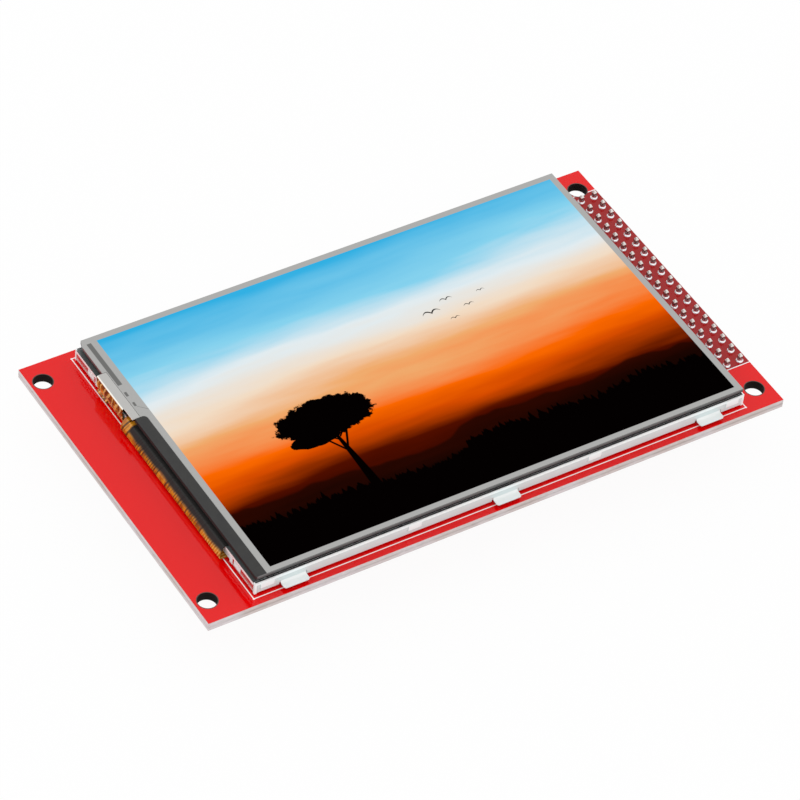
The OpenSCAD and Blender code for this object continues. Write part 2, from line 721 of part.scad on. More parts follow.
// Folded steel cover with a flange down each side, solder ears and a window over the card.
module socket_cover() {
    ear = 1.6;
    color([0.78, 0.78, 0.78]) on_underside(socket_x, socket_y) {
        difference() {
            translate([-socket_len / 2, -socket_wid / 2, 0]) cube([socket_len, socket_wid, socket_h]);
            translate([-socket_len / 2 - 1, -socket_wid / 2 + socket_sheet, -1])
                cube([socket_len + 2, socket_wid - 2 * socket_sheet, socket_h + 1 - socket_sheet]);
            // finger notch at the mouth
            translate([-socket_len / 2, 0, socket_h - 1]) cylinder(r = 5, h = 2, $fn = round_fn);
            // relief above the contacts
            for (y = [-7, 7]) translate([2, y - 2, socket_h - 1]) cube([6, 4, 2]);
        }
        for (x = [-socket_len / 2 + 3, socket_len / 2 - 5], s = [-1, 1])
            translate([x, s > 0 ? socket_wid / 2 - socket_sheet : -socket_wid / 2 - ear + socket_sheet, 0])
                cube([2.4, ear, socket_sheet]);
    }
}

// Nine spring contacts that rise from the channels and end in solder feet behind the socket.
module socket_contacts() {
    floor_t = socket_h - socket_sheet - slot_h;
    z = floor_t - 0.2;
    t = 0.12;
    color([0.85, 0.75, 0.45]) on_underside(socket_x, socket_y) for (i = [0:8])
        translate([0, (i - 4) * 2.5, 0])
            ribbon([[-socket_len / 2 + 2, z], [-socket_len / 2 + 5, z], [-socket_len / 2 + 9, z + 0.9],
                [-socket_len / 2 + 10.2, z + 0.7]], t, -0.4, 0.8);
}

// =========================================================== chips under the board

bus_chip_y = [-12.5, 12.5];
bus_chip_x = 37;

module bus_chips() {
    color([0.09, 0.09, 0.1]) for (y = bus_chip_y)
        on_underside(bus_chip_x, y) moulded_body(6.1, 12.5, 1, 0.1);
}

module bus_chip_leads() {
    color([0.8, 0.8, 0.82]) for (y = bus_chip_y)
        on_underside(bus_chip_x, y) gull_rows(12.5, 6.1, 24, 0.5, 1, 0.52, 0.22);
}

touch_chip_at = [22, 15];

module touch_chip() {
    color([0.09, 0.09, 0.1]) on_underside(touch_chip_at[0], touch_chip_at[1])
        moulded_body(4.4, 5, 1, 0.1);
}

module touch_chip_leads() {
    color([0.8, 0.8, 0.82]) on_underside(touch_chip_at[0], touch_chip_at[1])
        gull_rows(5, 4.4, 8, 0.65, 1, 0.52, 0.25);
}

// Voltage regulator with a wide tab at one side and three leads at the other.
regulator_at = [21, -14];

module regulator() {
    color([0.09, 0.09, 0.1]) on_underside(regulator_at[0], regulator_at[1])
        moulded_body(3.5, 6.5, 1.6, 0.06);
}

module regulator_leads() {
    color([0.8, 0.8, 0.82]) on_underside(regulator_at[0], regulator_at[1]) {
        for (y = [-2.3, 0, 2.3]) translate([1.75, y, 0]) gull_lead(1.7, 0.78, 0.8, 0.25, 0.7);
        rotate([0, 0, 180]) translate([1.75, 0, 0]) gull_lead(1.7, 0.78, 0.8, 0.25, 3);
    }
}

module tantalum_capacitors() {
    color([0.85, 0.6, 0.2]) for (y = [-21.5, -6.5])
        on_underside(regulator_at[0], y, 90) end_capped(1.6, 3.2, 1.6, 0.4);
}

module ceramic_capacitors() {
    near_bus = [for (y = bus_chip_y, s = [-1, 1]) [bus_chip_x + s * 2.2, y + 8.4]];
    near_touch = [[17.5, 17], [17.5, 13], [22, 19.5], [26.6, 15]];
    near_socket = [[-20, -10], [-20, 10]];
    color([0.72, 0.6, 0.45]) for (p = concat(near_bus, near_touch, near_socket))
        on_underside(p[0], p[1], 90) end_capped(1.6, 0.8, 0.8, 0.35);
}

module chip_resistors() {
    row = [for (i = [0:5]) [10, -18 + i * 2.2]];
    socket_row = [for (i = [0:3]) [-18, -4 + i * 2.4]];
    lamp_row = [[0, 20], [0, 17.6], [6, 20]];
    color([0.12, 0.12, 0.13]) for (p = concat(row, socket_row, lamp_row))
        on_underside(p[0], p[1]) end_capped(1.6, 0.8, 0.5, 0.3);
}

module resistor_arrays() {
    color([0.12, 0.12, 0.13]) for (y = [-19, -13, -7, 7, 13, 19])
        on_underside(44.6, y) end_capped(1.6, 3.2, 0.5, 0.3);
}

// Transistor that switches the lamps.
module lamp_transistor() {
    color([0.09, 0.09, 0.1]) on_underside(3, 13.5) {
        moulded_body(1.3, 2.9, 1, 0.1);
        for (y = [-0.95, 0.95]) translate([0.6, y, 0]) gull_lead(0.6, 0.5, 0.3, 0.12, 0.4);
        rotate([0, 0, 180]) translate([0.6, 0, 0]) gull_lead(0.6, 0.5, 0.3, 0.12, 0.4);
    }
}

circuit_board();
foam_tape();
backlight_tray();
backlight_frame();
reflector();
light_guide();
diffuser();
lower_prism_film();
upper_prism_film();
light_shield();
lamp_flex();
lamps();
rear_polariser();
rear_pane();
front_pane();
front_polariser();
driver_chip();
display_flex();
touch_ring();
touch_glass();
touch_spacer();
touch_film();
touch_tail();
ledge_tape();
flex_solder();
header_housing();
header_pins();
header_solder();
socket_base();
socket_cover();
socket_contacts();
bus_chips();
bus_chip_leads();
touch_chip();
touch_chip_leads();
regulator();
regulator_leads();
tantalum_capacitors();
ceramic_capacitors();
chip_resistors();
resistor_arrays();
lamp_transistor();
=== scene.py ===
import json
import math
import bpy
from mathutils import Matrix, Vector


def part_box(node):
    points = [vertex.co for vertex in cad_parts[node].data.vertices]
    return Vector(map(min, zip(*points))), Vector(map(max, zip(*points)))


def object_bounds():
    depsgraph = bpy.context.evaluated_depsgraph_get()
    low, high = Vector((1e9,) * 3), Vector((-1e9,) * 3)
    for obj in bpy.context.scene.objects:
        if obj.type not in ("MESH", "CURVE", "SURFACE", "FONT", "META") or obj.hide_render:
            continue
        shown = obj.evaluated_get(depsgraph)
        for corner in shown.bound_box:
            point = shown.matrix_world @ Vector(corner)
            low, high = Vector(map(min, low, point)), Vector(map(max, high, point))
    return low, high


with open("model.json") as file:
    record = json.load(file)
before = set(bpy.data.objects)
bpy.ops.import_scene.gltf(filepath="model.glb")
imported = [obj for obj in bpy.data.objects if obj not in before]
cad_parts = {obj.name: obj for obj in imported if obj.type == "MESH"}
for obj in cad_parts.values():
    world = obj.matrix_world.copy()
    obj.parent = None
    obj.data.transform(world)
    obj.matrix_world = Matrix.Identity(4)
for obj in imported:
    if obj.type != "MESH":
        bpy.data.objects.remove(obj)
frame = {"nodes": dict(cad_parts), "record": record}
cadLow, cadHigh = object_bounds()
mm = 0.001
print("frame loaded:", len(frame["nodes"]), "nodes")


def cornersOf(name):
    low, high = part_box(name)
    return [c / mm for c in low], [c / mm for c in high]


# shader maths

class Wire:
    # one socket of a shader or geometry tree, which takes part in plain arithmetic
    def __init__(self, tree, socket):
        self.tree = tree
        self.socket = socket

    def math(self, operation, *others, clamp=False):
        settings = {"operation": operation, "use_clamp": clamp}
        return addNode(self.tree, "ShaderNodeMath", settings, (self,) + others)

    def __add__(self, other):
        return self.math("ADD", other)

    def __radd__(self, other):
        return self.math("ADD", other)

    def __sub__(self, other):
        return self.math("SUBTRACT", other)

    def __rsub__(self, other):
        return addNode(self.tree, "ShaderNodeMath", {"operation": "SUBTRACT"}, (other, self))

    def __mul__(self, other):
        return self.math("MULTIPLY", other)

    def __rmul__(self, other):
        return self.math("MULTIPLY", other)

    def __truediv__(self, other):
        return self.math("DIVIDE", other)

    def __neg__(self):
        return self.math("MULTIPLY", -1)

    def __abs__(self):
        return self.math("ABSOLUTE")

    def least(self, other):
        return self.math("MINIMUM", other)

    def most(self, other):
        return self.math("MAXIMUM", other)

    def rise(self, start, end):
        # 0 below start, 1 above end, smooth between
        return addNode(self.tree, "ShaderNodeMapRange", {"interpolation_type": "SMOOTHSTEP"},
                       {"Value": self, "From Min": start, "From Max": end})


def addNode(tree, kind, settings, sockets, out=0):
    node = tree.nodes.new(kind)
    for key, value in settings.items():
        if key == "stops":
            fillRamp(node.color_ramp, value)
        else:
            setattr(node, key, value)
    pairs = sockets.items() if isinstance(sockets, dict) else enumerate(sockets)
    for key, value in pairs:
        if isinstance(value, Wire):
            tree.links.new(value.socket, node.inputs[key])
        else:
            node.inputs[key].default_value = value
    return Wire(tree, node.outputs[out]) if node.outputs else None


def fillRamp(ramp, stops):
    while len(ramp.elements) < len(stops):
        ramp.elements.new(0.5)
    for element, (place, tone) in zip(ramp.elements, stops):
        element.position = place
        element.color = colour(*tone)


def colour(r, g, b):
    # display values from 0 to 255 as linear colour
    linear = [c / 3294.6 if c <= 10 else ((c / 255 + 0.055) / 1.055) ** 2.4 for c in (r, g, b)]
    return (*linear, 1)


class Finish:
    # one procedural material, with coordinates in millimetres
    def __init__(self, name):
        self.material = bpy.data.materials.new(name)
        self.material.use_nodes = True
        self.tree = self.material.node_tree
        self.tree.nodes.clear()
        self.place = addNode(self.tree, "ShaderNodeVectorMath", {"operation": "SCALE"},
                             {0: self.add("ShaderNodeTexCoord", out="Object"), "Scale": 1 / mm})
        self.x, self.y, self.z = self.split(self.place)
        self.facing = self.add("ShaderNodeTexCoord", out="Normal")
        self.nx, self.ny, self.nz = self.split(self.facing)

    def add(self, kind, settings=None, sockets=None, out=0):
        return addNode(self.tree, kind, settings or {}, sockets or {}, out)

    def split(self, vector):
        return [self.add("ShaderNodeSeparateXYZ", {}, {0: vector}, axis) for axis in range(3)]

    def stretch(self, sx, sy, sz):
        # the place, scaled along each axis
        return self.add("ShaderNodeVectorMath", {"operation": "MULTIPLY"}, {0: self.place, 1: (sx, sy, sz)})

    def noise(self, scale, detail=2, roughness=0.5, at=None):
        return self.add("ShaderNodeTexNoise", {}, {"Vector": at or self.place, "Scale": scale,
                                                   "Detail": detail, "Roughness": roughness})

    def noiseAlong(self, value, scale, detail=1):
        return self.add("ShaderNodeTexNoise", {"noise_dimensions": "1D"},
                        {"W": value, "Scale": scale, "Detail": detail})

    def blend(self, factor, one, other):
        return self.add("ShaderNodeMix", {"data_type": "RGBA", "clamp_factor": True},
                        {0: factor, 6: one, 7: other}, out=2)

    def ramp(self, factor, stops):
        return self.add("ShaderNodeValToRGB", {"stops": stops}, {0: factor})

    def slab(self, value, low, high, soft=0.04):
        # 1 between low and high
        return value.rise(low - soft, low + soft) * (1 - value.rise(high - soft, high + soft))

    def patch(self, xLow, xHigh, yLow, yHigh, soft=0.04):
        return self.slab(self.x, xLow, xHigh, soft) * self.slab(self.y, yLow, yHigh, soft)

    def line(self, value, at, width, soft=0.03):
        return self.slab(value, at - width / 2, at + width / 2, soft)

    def bump(self, height, strength, distance=0.05, base=None):
        sockets = {"Height": height, "Strength": strength, "Distance": distance * mm}
        if base:
            sockets["Normal"] = base
        return self.add("ShaderNodeBump", {}, sockets)

    def coat(self, tone, rough, metal=0.0, normal=None, **more):
        sockets = {"Base Color": tone, "Roughness": rough, "Metallic": metal}
        if normal:
            sockets["Normal"] = normal
        sockets.update({key.replace("_", " "): value for key, value in more.items()})
        return self.add("ShaderNodeBsdfPrincipled", {}, sockets)

    def mixShader(self, factor, one, other):
        return self.add("ShaderNodeMixShader", {}, {0: factor, 1: one, 2: other})

    def done(self, shader):
        self.add("ShaderNodeOutputMaterial", {}, {"Surface": shader})
        return self.material


def dress(material, *names):
    for name in names:
        mesh = frame["nodes"][name].data
        mesh.materials.clear()
        mesh.materials.append(material)


# camera, light and floor

cameraLook = {"azimuth": -36.19, "elevation": 44.784, "roll": -6.758, "lens": 204.31,
              "distance": 721.785, "aim": (-0.953, -1.33, -0.157)}


def makeCamera():
    a, e, r = (math.radians(cameraLook[k]) for k in ("azimuth", "elevation", "roll"))
    back = Vector((math.sin(a) * math.cos(e), -math.cos(a) * math.cos(e), math.sin(e)))
    right = Vector((0, 0, 1)).cross(back).normalized()
    up = back.cross(right)
    turnedRight = right * math.cos(r) - up * math.sin(r)
    turnedUp = right * math.sin(r) + up * math.cos(r)
    data = bpy.data.cameras.new("camera")
    data.lens = cameraLook["lens"]
    data.sensor_width = 36
    data.clip_start = 0.01
    data.clip_end = 20
    camera = bpy.data.objects.new("camera", data)
    bpy.context.collection.objects.link(camera)
    turn = Matrix((turnedRight, turnedUp, back)).transposed()
    spot = Vector(cameraLook["aim"]) * mm + back * cameraLook["distance"] * mm
    camera.matrix_world = Matrix.Translation(spot) @ turn.to_4x4()
    bpy.context.scene.camera = camera


# powers in watts, sizes and places in metres
lightLook = {"world": 0.98, "softbox": 1.0, "softboxSize": 0.9, "softboxPlace": (-0.35, 0.5, 0.75),
             "fill": 0.3, "fillSize": 0.8, "fillPlace": (-0.3, -0.8, 0.45),
             "floorGlow": 0.95, "floorHalf": 3.0, "floorGap": 0.00002}


def makeWorld():
    world = bpy.data.worlds.new("studio")
    world.use_nodes = True
    tree = world.node_tree
    tree.nodes.clear()
    sees = [addNode(tree, "ShaderNodeLightPath", {}, {}, out)
            for out in ("Is Camera Ray", "Is Glossy Ray", "Is Transmission Ray")]
    direct = sees[0].most(sees[1]).most(sees[2])
    strength = lightLook["world"] + direct * (1 - lightLook["world"])
    glow = addNode(tree, "ShaderNodeBackground", {}, {"Color": (1, 1, 1, 1), "Strength": strength})
    addNode(tree, "ShaderNodeOutputWorld", {}, {"Surface": glow})
    bpy.context.scene.world = world


def makeSoftbox(name, place, power, size):
    data = bpy.data.lights.new(name, "AREA")
    data.shape = "SQUARE"
    data.size = size
    data.energy = power
    lamp = bpy.data.objects.new(name, data)
    bpy.context.collection.objects.link(lamp)
    lamp.location = place
    lamp.rotation_mode = "QUATERNION"
    lamp.rotation_quaternion = (-Vector(place)).to_track_quat("-Z", "Y")


def makeFloor():
    finish = Finish("floorPaper")
    tone = finish.blend(finish.noise(0.02), (0.86, 0.86, 0.86, 1), (0.88, 0.88, 0.88, 1))
    paper = finish.coat(tone, 0.9, Specular_IOR_Level=0.0)
    glow = finish.add("ShaderNodeEmission", {}, {"Color": (1, 1, 1, 1), "Strength": 1.0})
    sees = [finish.add("ShaderNodeLightPath", out=out)
            for out in ("Is Camera Ray", "Is Glossy Ray", "Is Transmission Ray")]
    share = sees[0].most(sees[1]).most(sees[2]) * lightLook["floorGlow"]
    material = finish.done(finish.mixShader(share, paper, glow))
    half = lightLook["floorHalf"]
    level = cadLow.z - lightLook["floorGap"]
    mesh = bpy.data.meshes.new("floor")
    corners = [(-half, -half, level), (half, -half, level), (half, half, level), (-half, half, level)]
    mesh.from_pydata(corners, [], [(0, 1, 2, 3)])
    mesh.materials.append(material)
    floor = bpy.data.objects.new("floor", mesh)
    bpy.context.collection.objects.link(floor)


makeCamera()
makeWorld()
makeSoftbox("softboxBack", lightLook["softboxPlace"], lightLook["softbox"], lightLook["softboxSize"])
makeSoftbox("softboxFront", lightLook["fillPlace"], lightLook["fill"], lightLook["fillSize"])
makeFloor()
bpy.context.scene.view_settings.view_transform = "Standard"
print("camera, light and floor ready")


# circuit board

boardLook = {"mask": (228, 0, 2), "maskDark": (218, 0, 2), "field": (126, 12, 14),
             "fibre": (222, 213, 214), "fibreDark": (160, 146, 148), "fibreWarm": (176, 146, 112),
             "edgeRed": (190, 120, 112), "print": (252, 250, 250), "holeShade": (20, 7, 4),
             "holeRim": (92, 62, 56), "maskRough": 0.1, "shine": 0.34}
# places of the printed lines on the board's top, in millimetres
boardPrint = {"left": -44.08, "right": 46.84, "front": -29.1, "back": 28.6, "line": 0.17,
              "headerLeft": 47.95, "headerFront": -20.74, "headerBack": 24.98}


def boardFinish():
    f = Finish("boardMask")
    low, high = cornersOf("circuit_board")
    mount = frame["record"]["mounts"][0]
    stepX, stepY = mount["dims"]["spacing_x_mm"] / 2, mount["dims"]["spacing_y_mm"] / 2
    holeR = mount["dims"]["hole_r_mm"]
    lay = boardPrint
    fromHole = f.add("ShaderNodeVectorMath", {"operation": "LENGTH"},
                     {0: f.add("ShaderNodeCombineXYZ", {}, (abs(f.x) - stepX, abs(f.y) - stepY, 0))}, "Value")
    top = f.nz.rise(0.5, 0.8)
    under = (-f.nz).rise(0.5, 0.8)
    flat = top.most(under)
    # mask: a faint cloudiness, and tracks that show as slightly deeper red on the underside
    cloud = f.noise(0.16, 2)
    wander = f.noise(0.5, 1) * 0.5
    tracks = f.slab((f.y * 0.62 + wander).math("PINGPONG", 1.0), 0.44, 0.6, 0.06)
    tracks = tracks * f.noise(0.07, 0).rise(0.5, 0.56) * under
    mask = f.blend(cloud * 0.35 + tracks * 0.3, colour(*boardLook["mask"]), colour(*boardLook["maskDark"]))
    # the header's field carries close copper, so its mask looks duller
    field = f.patch(lay["headerLeft"], high[0] + 1, lay["headerFront"], lay["headerBack"])
    mask = f.blend(field * 0.75, mask, colour(*boardLook["field"]))
    # printed outline of the display and the two lines that bound the header
    w = lay["line"]
    inX = f.slab(f.x, lay["left"] - w, lay["right"] + w)
    inY = f.slab(f.y, lay["front"] - w, lay["back"] + w)
    outline = f.line(f.x, lay["left"], w).most(f.line(f.x, lay["right"], w)) * inY
    outline = outline.most(f.line(f.y, lay["front"], w).most(f.line(f.y, lay["back"], w)) * inX)
    ends = f.line(f.y, lay["headerFront"], w).most(f.line(f.y, lay["headerBack"], w))
    outline = outline.most(ends * f.x.rise(lay["headerLeft"] - 0.1, lay["headerLeft"]))
    ink = outline * top * f.noise(3, 1).rise(0.15, 0.3)
    tone = f.blend(ink, mask, colour(*boardLook["print"]))
    # bare rim where the mask stops short of a mounting hole
    rim = (1 - fromHole.rise(holeR + 0.1, holeR + 0.2)) * flat
    tone = f.blend(rim, tone, colour(*boardLook["holeRim"]))
    # cut edge: woven layers and a trace of mask at the top face
    weave = f.noise(1, 3, 0.6, f.stretch(1.6, 1.6, 9)) * 0.6 + f.noise(1, 2, 0.5, f.stretch(0.5, 0.5, 3)) * 0.4
    along = f.noise(1, 2, 0.5, f.stretch(0.12, 0.12, 0)).rise(0.35, 0.65)
    layers = f.line(f.z, low[2] + 0.75, 0.34, 0.2) * (along * 0.6 + 0.4)
    edge = f.blend(weave.rise(0.35, 0.7) * 0.35 + layers * 0.6, colour(*boardLook["fibre"]),
                   colour(*boardLook["fibreDark"]))
    edge = f.blend(along * 0.22, edge, colour(*boardLook["fibreWarm"]))
    edge = f.blend(f.z.rise(high[2] - 0.14, high[2] - 0.03) * 0.4, edge, colour(*boardLook["edgeRed"]))
    # painted shade: the walls of the mounting holes are coloured near black for the shade inside them
    inHole = (1 - fromHole.rise(holeR + 0.02, holeR + 0.06)) * (1 - flat)
    edge = f.blend(inHole, edge, colour(*boardLook["holeShade"]))
    tone = f.blend(flat, edge, tone)
    rough = 0.75 - flat * (0.75 - boardLook["maskRough"]) + ink * 0.3 + inHole * 0.25
    height = tracks * 0.4 + f.noise(2.2, 2) * 0.12 + ink * 0.6
    normal = f.bump(height * flat + weave * (1 - flat), 0.16, 0.05)
    return f.done(f.coat(tone, rough, 0, normal, Specular_IOR_Level=boardLook["shine"]))


dress(boardFinish(), "circuit_board")


def solderFinish(name, bright=(226, 226, 230), dark=(176, 176, 182), rough=0.2):
    f = Finish(name)
    grain = f.noise(5, 3, 0.6)
    tone = f.blend(grain, colour(*bright), colour(*dark))
    return f.done(f.coat(tone, rough + grain * 0.12, 1, f.bump(f.noise(3, 2), 0.25, 0.05)))


pinLook = {"plate": (250, 248, 244), "shade": (206, 202, 196), "shaftShade": (86, 62, 56)}


def pinFinish():
    # tin plate, with painted shade darkening the stretch above the solder for the dark reflection the shaft
    # shows; the cropped tips are bright
    f = Finish("pinPlate")
    tip = cornersOf("header_pins")[1][2]
    board = cornersOf("circuit_board")[1][2]
    drawn = f.noise(1, 2, 0.5, f.stretch(9, 9, 0.8))
    tin = f.blend(drawn, colour(*pinLook["plate"]), colour(*pinLook["shade"]))
    # painted shade: the shaft between the solder and the tip is coloured dark
    stainAndShade = f.slab(f.z, board - 0.2, tip - 0.5, 0.12) * (0.7 + drawn * 0.4)
    tone = f.blend(stainAndShade, tin, colour(*pinLook["shaftShade"]))
    return f.done(f.coat(tone, 0.16 + stainAndShade * 0.25, 1, f.bump(drawn, 0.15, 0.02)))


jointLook = {"bright": (252, 252, 254), "dull": (214, 212, 216), "climbShade": (104, 84, 82)}


def jointFinish():
    # solder: bright where it wets the pad; painted shade darkens it where it climbs the pin
    f = Finish("solderJoint")
    board = cornersOf("circuit_board")[1][2]
    grain = f.noise(5, 3, 0.6)
    climb = f.z.rise(board + 0.3, board + 0.62)
    bright = f.blend(grain * 0.5, colour(*jointLook["bright"]), colour(*jointLook["dull"]))
    # painted shade on the solder's climb up the pin
    tone = f.blend(climb * 0.75, bright, colour(*jointLook["climbShade"]))
    return f.done(f.coat(tone, 0.14 + grain * 0.12 + climb * 0.15, 1, f.bump(f.noise(3, 2), 0.25, 0.05)))


def mouldedFinish(name, tone, pale, rough=0.55, grain=6, strength=0.25):
    f = Finish(name)
    speck = f.noise(grain, 3, 0.6)
    colourMix = f.blend(speck.rise(0.3, 0.75), colour(*tone), colour(*pale))
    return f.done(f.coat(colourMix, rough + speck * 0.12, 0, f.bump(speck, strength, 0.03)))


dress(jointFinish(), "header_solder")
dress(solderFinish("solderShine"), "flex_solder")
dress(pinFinish(), "header_pins")
dress(mouldedFinish("housingPlastic", (20, 20, 21), (34, 34, 35), 0.42), "header_housing")


# backlight

steelLook = {"tone": (224, 236, 236), "shade": (206, 218, 218), "flare": (250, 250, 249),
             "mirror": (214, 204, 202), "rough": 0.5, "polish": 0.16, "satin": 0.1}


def traySteel():
    # satin sheet; the short left wall was drawn against polished tooling and stays mirror bright
    f = Finish("traySteel")
    left = cornersOf("backlight_frame")[0][0]
    brushed = f.noise(1, 3, 0.6, f.stretch(0.5, 0.5, 14))
    stainAndShade = f.noise(0.35, 2)
    tone = f.blend(brushed * 0.4 + stainAndShade * 0.4, colour(*steelLook["tone"]), colour(*steelLook["shade"]))
    # painted highlight: faces turned upward, the flared lugs among them, are lightened towards near white
    tone = f.blend(f.nz.rise(0.1, 0.4) * (0.9 - stainAndShade * 0.3), tone, colour(*steelLook["flare"]))
    mirror = (-f.nx).rise(0.7, 0.9) * (1 - f.x.rise(left + 0.3, left + 0.5))
    tone = f.blend(mirror, tone, colour(*steelLook["mirror"]))
    rough = steelLook["rough"] + brushed * 0.1 - mirror * (steelLook["rough"] - steelLook["polish"])
    metal = steelLook["satin"] + mirror * (1 - steelLook["satin"])
    return f.done(f.coat(tone, rough, metal, f.bump(brushed + stainAndShade, 0.1, 0.03)))


frameLook = {"white": (255, 255, 255), "pale": (248, 248, 249), "leftBounceTint": (226, 255, 255),
             "frontBounceTint": (236, 255, 255), "rimShade": (14, 14, 15)}


def frameFinish():
    # white moulding; painted shade: a near-black band on the inner part of the rim's top, under the touch
    # glass, against the display cell
    f = Finish("framePlastic")
    low, high = cornersOf("backlight_frame")
    speck = f.noise(3, 3, 0.6)
    white = f.blend(speck * 0.5, colour(*frameLook["white"]), colour(*frameLook["pale"]))
    # painted light: faces turned to the left and to the front are tinted cyan, cancelling the red light
    # bounced onto them from the board
    white = f.blend((-f.nx).rise(0.5, 0.8) * 0.8, white, colour(*frameLook["leftBounceTint"]))
    white = f.blend((-f.ny).rise(0.5, 0.8) * 0.5, white, colour(*frameLook["frontBounceTint"]))
    # painted shade on the rim's top, under the touch glass overhang
    rimShade = f.patch(low[0] + 0.2, high[0] - 0.2, low[1] + 0.2, high[1] - 0.2, 0.03)
    rimShade = rimShade * f.z.rise(high[2] - 0.03, high[2] - 0.01)
    tone = f.blend(rimShade, white, colour(*frameLook["rimShade"]))
    return f.done(f.coat(tone, 0.35 + speck * 0.1, 0, f.bump(speck, 0.1, 0.03)))


def filmFinish(name, tone, pale, rough, ridges=0.0):
    f = Finish(name)
    ridge = (f.y * 6).math("PINGPONG", 0.5)
    cloud = f.noise(0.4, 2)
    mixTone = f.blend(cloud * 0.6 + ridge * ridges, colour(*tone), colour(*pale))
    return f.done(f.coat(mixTone, rough + cloud * 0.06, 0, f.bump(ridge * ridges + cloud * 0.1, 0.2, 0.03)))


dress(traySteel(), "backlight_tray")
dress(frameFinish(), "backlight_frame")
dress(mouldedFinish("foamTape", (225, 224, 218), (205, 204, 198), 0.8, 8, 0.6), "foam_tape")
dress(filmFinish("reflectorFilm", (250, 250, 250), (240, 241, 243), 0.35), "reflector")
dress(filmFinish("guideAcrylic", (214, 228, 228), (200, 218, 220), 0.08), "light_guide")
dress(filmFinish("diffuserFilm", (240, 240, 238), (230, 231, 231), 0.6), "diffuser")
dress(filmFinish("prismFilm", (206, 214, 220), (226, 231, 236), 0.2, 0.5),
      "lower_prism_film", "upper_prism_film")
dress(filmFinish("polariserFilm", (14, 14, 15), (22, 22, 24), 0.3), "rear_polariser", "front_polariser")
dress(mouldedFinish("blackTape", (16, 16, 16), (26, 26, 26), 0.6, 4, 0.2), "light_shield", "touch_ring")
dress(mouldedFinish("lampBody", (240, 234, 196), (226, 216, 170), 0.3, 4, 0.1), "lamps")


# display cell

def paneFinish(name, face, edge, rough=0.05):
    # ground edges are paler and rougher than the faces
    f = Finish(name)
    flat = abs(f.nz).rise(0.5, 0.8)
    chips = f.noise(6, 3, 0.65)
    edgeTone = f.blend(chips.rise(0.4, 0.7), colour(*edge), colour(*[c * 0.86 for c in edge]))
    tone = f.blend(flat, edgeTone, f.blend(f.noise(0.5), colour(*face), colour(*[c * 0.93 for c in face])))
    return f.done(f.coat(tone, 0.4 - flat * (0.4 - rough) + chips * 0.05, 0, f.bump(chips, 0.1, 0.03)))


dress(paneFinish("rearPaneGlass", (90, 96, 96), (252, 253, 253)), "rear_pane")
dress(paneFinish("frontPaneGlass", (30, 31, 32), (24, 24, 25), 0.2), "front_pane")
dress(mouldedFinish("driverSilicon", (58, 58, 66), (74, 74, 84), 0.12, 2, 0.05), "driver_chip")

flexLook = {"amber": (222, 152, 34), "deep": (168, 96, 18), "track": (54, 30, 6), "gold": (244, 198, 104),
            "cover": (14, 11, 8)}


def flexFinish():
    # copper tracks run round the bend, so the pattern only changes along y
    f = Finish("flexAmber")
    low = cornersOf("display_flex")[0]
    drift = f.noise(0.35, 2) * 0.9
    run = f.y + drift * 0.25 + (f.z - low[2]) * 0.35
    fine = f.slab((run * 1.9).math("PINGPONG", 0.5), 0.0, 0.17, 0.05)
    groups = f.noiseAlong(f.y, 0.3, 2).rise(0.44, 0.54)
    thick = f.noiseAlong(run, 1.4, 3).rise(0.56, 0.62)
    near = 1 - f.y.rise(low[1] + 3.5, low[1] + 7)
    tracks = (fine * groups).most(thick) * (1 - near * 0.75)
    wave = f.noiseAlong(f.y, 0.22, 1) * 0.7 - 0.35
    tapeEnd = cornersOf("ledge_tape")[1][1]
    shade = (f.z + wave).rise(low[2] + 1.15, low[2] + 1.9) * (1 - f.y.rise(tapeEnd - 0.3, tapeEnd + 0.3))
    amber = f.blend(f.noise(0.8, 2).rise(0.3, 0.7), colour(*flexLook["amber"]), colour(*flexLook["deep"]))
    tone = f.blend(tracks * 0.85, amber, colour(*flexLook["track"]))
    tone = f.blend(fine * near * 0.85, tone, colour(*flexLook["gold"]))
    # black cover layer from the glass down to the bend; its darkness is partly painted shade under the touch
    # glass
    tone = f.blend(shade, tone, colour(*flexLook["cover"]))
    height = tracks * 0.5 + f.noise(1.2, 2) * 0.5
    return f.done(f.coat(tone, 0.26 + tracks * 0.1 + shade * 0.4, 0, f.bump(height, 0.3, 0.05)))


tailLook = {"ink": (184, 183, 180), "inkDark": (170, 169, 166), "amber": (226, 150, 28),
            "deep": (150, 84, 12), "track": (72, 40, 8), "upperShade": (58, 34, 8), "silver": (248, 214, 130),
            "rim": (252, 250, 240)}


